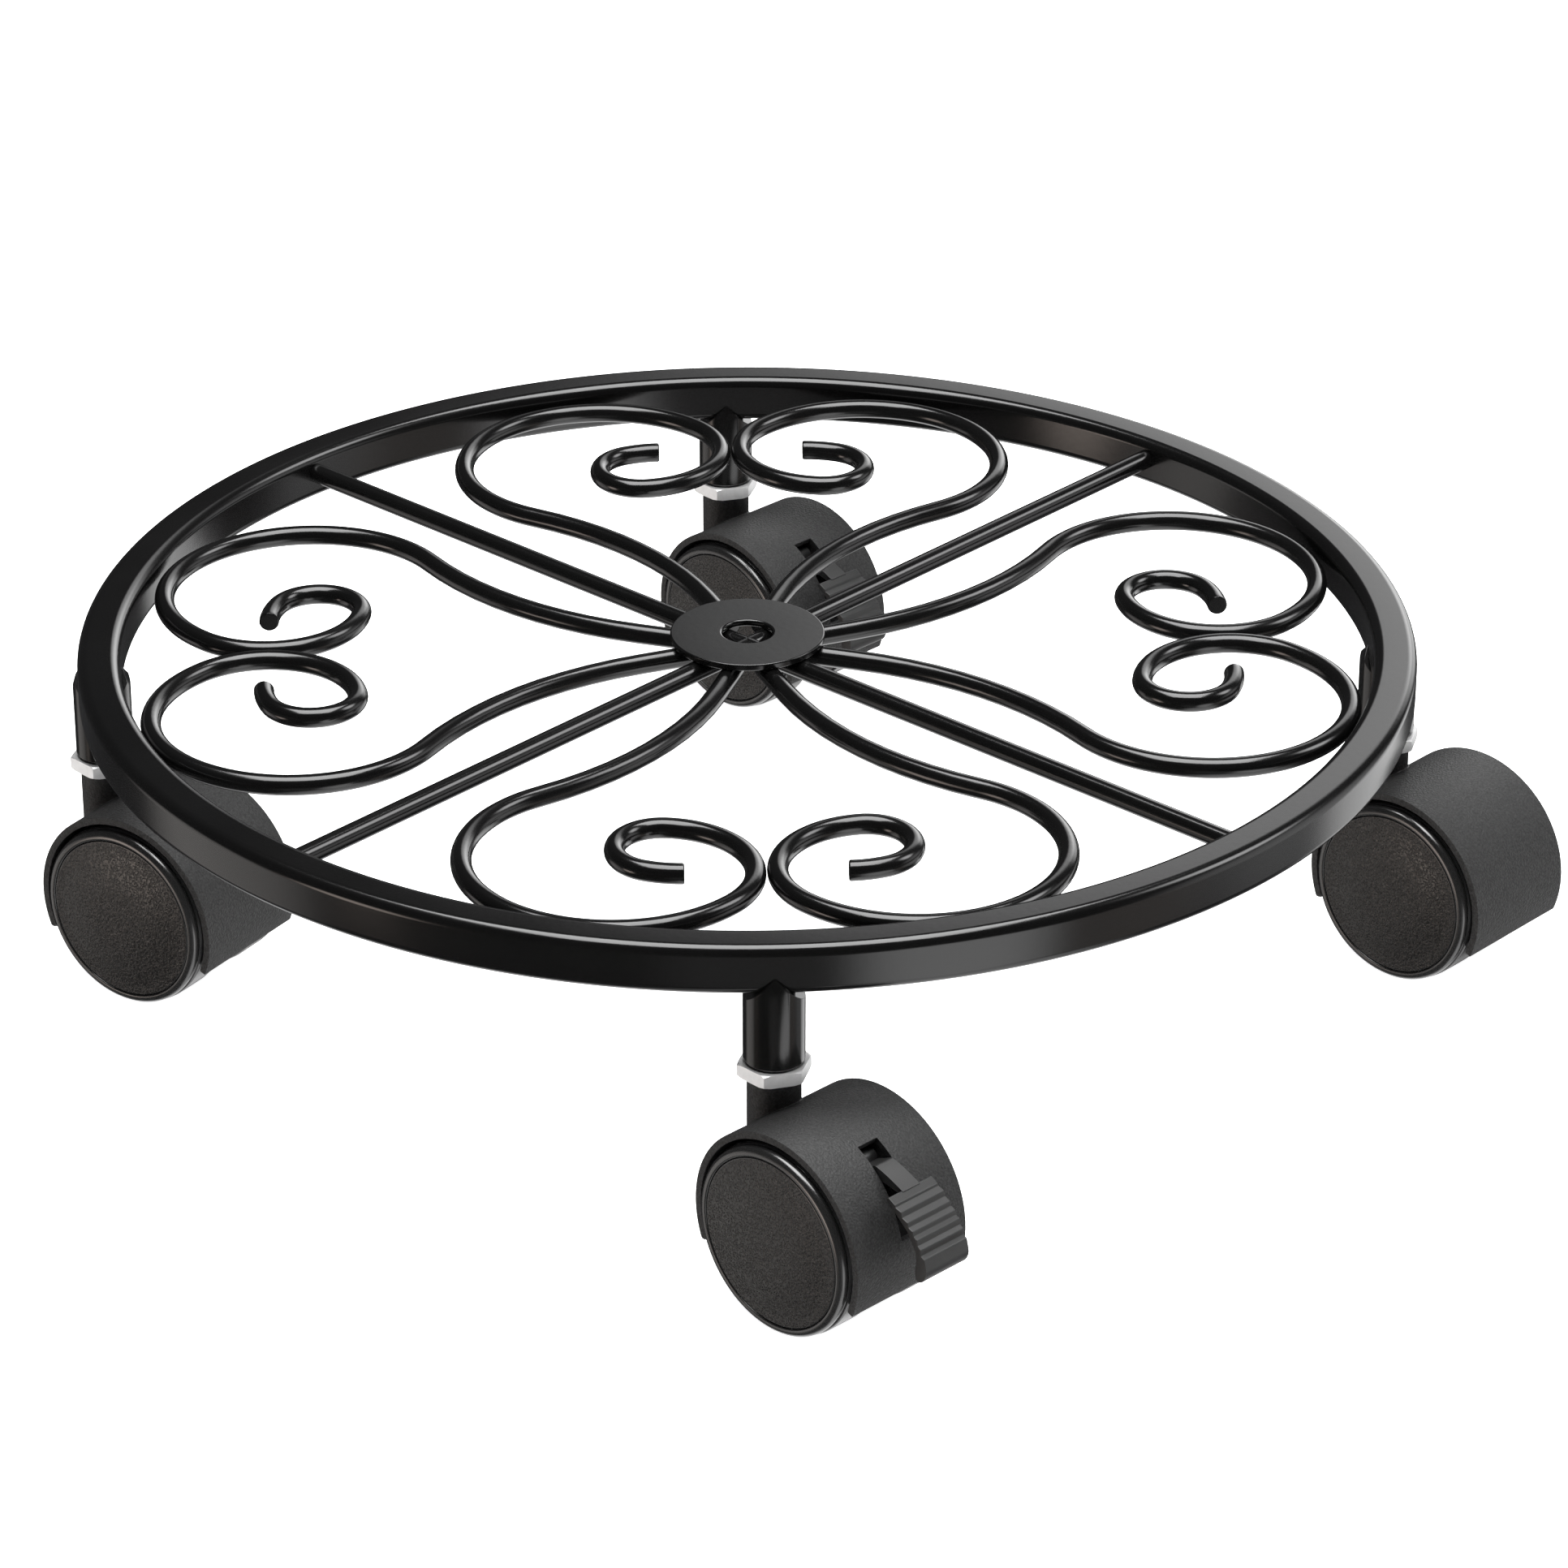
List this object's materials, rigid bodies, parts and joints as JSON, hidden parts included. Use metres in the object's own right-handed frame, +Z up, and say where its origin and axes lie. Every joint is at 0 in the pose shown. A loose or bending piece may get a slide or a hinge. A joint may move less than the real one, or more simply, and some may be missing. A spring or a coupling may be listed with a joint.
{
  "type": "plant pot caddy",
  "caption": "Round steel plant pot caddy: flat hoop, scrolled rod deck and small twin-wheel swivel casters, some with a foot brake.",
  "frame": {"origin": "on the floor, in the middle of the box that the caddy stands in; the hoop is centred 12 mm to -X and 13 mm to +Y of it, because every caster trails the same way", "axes": "+Z up; the four leg posts lie along X and Y from the centre of the hoop, and the braked casters are the ones towards -Y and +Y"},
  "size_m": [0.3448, 0.3478, 0.0795],
  "materials": {
    "powder_coat": "semi-gloss black powder coat on steel",
    "zinc": "bright zinc-plated steel",
    "steel": "plain bright steel",
    "hood_nylon": "fine spark-textured black nylon",
    "lever_nylon": "smooth satin dark grey nylon",
    "wheel_nylon": "satin-gloss black nylon",
    "cap_nylon": "leather-grained black plastic"
  },
  "bodies": {
    "deck": {"hoop": "powder_coat", "hub_plate": "powder_coat", "spoke_1": "powder_coat", "scroll_1_a": "powder_coat", "scroll_1_b": "powder_coat", "spoke_2": "powder_coat", "scroll_2_a": "powder_coat", "scroll_2_b": "powder_coat", "spoke_3": "powder_coat", "scroll_3_a": "powder_coat", "scroll_3_b": "powder_coat", "spoke_4": "powder_coat", "scroll_4_a": "powder_coat", "scroll_4_b": "powder_coat", "post_front": "powder_coat", "stem_front": "steel", "nut_front": "zinc", "post_right": "powder_coat", "stem_right": "steel", "nut_right": "zinc", "post_back": "powder_coat", "stem_back": "steel", "nut_back": "zinc", "post_left": "powder_coat", "stem_left": "steel", "nut_left": "zinc"},
    "caster_front": {"hood_front": "hood_nylon", "axle_front": "steel", "stem_clip_front": "steel", "brake_pin_front": "steel"},
    "wheel_body_front_a": {"wheel_front_a": "wheel_nylon", "wheel_cap_front_a": "cap_nylon"},
    "wheel_body_front_b": {"wheel_front_b": "wheel_nylon", "wheel_cap_front_b": "cap_nylon"},
    "brake_front": {"brake_lever_front": "lever_nylon"},
    "caster_right": {"hood_right": "hood_nylon", "axle_right": "steel", "stem_clip_right": "steel"},
    "wheel_body_right_a": {"wheel_right_a": "wheel_nylon", "wheel_cap_right_a": "cap_nylon"},
    "wheel_body_right_b": {"wheel_right_b": "wheel_nylon", "wheel_cap_right_b": "cap_nylon"},
    "caster_back": {"hood_back": "hood_nylon", "axle_back": "steel", "stem_clip_back": "steel", "brake_pin_back": "steel"},
    "wheel_body_back_a": {"wheel_back_a": "wheel_nylon", "wheel_cap_back_a": "cap_nylon"},
    "wheel_body_back_b": {"wheel_back_b": "wheel_nylon", "wheel_cap_back_b": "cap_nylon"},
    "brake_back": {"brake_lever_back": "lever_nylon"},
    "caster_left": {"hood_left": "hood_nylon", "axle_left": "steel", "stem_clip_left": "steel"},
    "wheel_body_left_a": {"wheel_left_a": "wheel_nylon", "wheel_cap_left_a": "cap_nylon"},
    "wheel_body_left_b": {"wheel_left_b": "wheel_nylon", "wheel_cap_left_b": "cap_nylon"}
  },
  "joints": [
    {"name": "swivel_front", "type": "hinge", "parent": "deck", "child": "caster_front", "pos_m": [-0.01219, -0.13242, 0.05], "axis": [0, 0, 1], "continuous": true},
    {"name": "roll_front_a", "type": "hinge", "parent": "caster_front", "child": "wheel_body_front_a", "pos_m": [-0.00115, -0.14468, 0.0213], "axis": [0.7431, 0.6691, 0], "continuous": true},
    {"name": "roll_front_b", "type": "hinge", "parent": "caster_front", "child": "wheel_body_front_b", "pos_m": [-0.00115, -0.14468, 0.0213], "axis": [0.7431, 0.6691, 0], "continuous": true},
    {"name": "brake_press_front", "type": "hinge", "parent": "caster_front", "child": "brake_front", "pos_m": [0.005, -0.15152, 0.0379], "axis": [0.7431, 0.6691, 0], "range_deg": [0, 12]},
    {"name": "swivel_right", "type": "hinge", "parent": "deck", "child": "caster_right", "pos_m": [0.13301, 0.01278, 0.05], "axis": [0, 0, 1], "continuous": true},
    {"name": "roll_right_a", "type": "hinge", "parent": "caster_right", "child": "wheel_body_right_a", "pos_m": [0.14459, 0.00103, 0.0213], "axis": [0.712, 0.7022, 0], "continuous": true},
    {"name": "roll_right_b", "type": "hinge", "parent": "caster_right", "child": "wheel_body_right_b", "pos_m": [0.14459, 0.00103, 0.0213], "axis": [0.712, 0.7022, 0], "continuous": true},
    {"name": "swivel_back", "type": "hinge", "parent": "deck", "child": "caster_back", "pos_m": [-0.01219, 0.15798, 0.05], "axis": [0, 0, 1], "continuous": true},
    {"name": "roll_back_a", "type": "hinge", "parent": "caster_back", "child": "wheel_body_back_a", "pos_m": [-0.00115, 0.14572, 0.0213], "axis": [0.7431, 0.6691, 0], "continuous": true},
    {"name": "roll_back_b", "type": "hinge", "parent": "caster_back", "child": "wheel_body_back_b", "pos_m": [-0.00115, 0.14572, 0.0213], "axis": [0.7431, 0.6691, 0], "continuous": true},
    {"name": "brake_press_back", "type": "hinge", "parent": "caster_back", "child": "brake_back", "pos_m": [0.005, 0.13888, 0.0379], "axis": [0.7431, 0.6691, 0], "range_deg": [0, 12]},
    {"name": "swivel_left", "type": "hinge", "parent": "deck", "child": "caster_left", "pos_m": [-0.15739, 0.01278, 0.05], "axis": [0, 0, 1], "continuous": true},
    {"name": "roll_left_a", "type": "hinge", "parent": "caster_left", "child": "wheel_body_left_a", "pos_m": [-0.14399, 0.00315, 0.0213], "axis": [0.5835, 0.8121, 0], "continuous": true},
    {"name": "roll_left_b", "type": "hinge", "parent": "caster_left", "child": "wheel_body_left_b", "pos_m": [-0.14399, 0.00315, 0.0213], "axis": [0.5835, 0.8121, 0], "continuous": true}
  ]
}
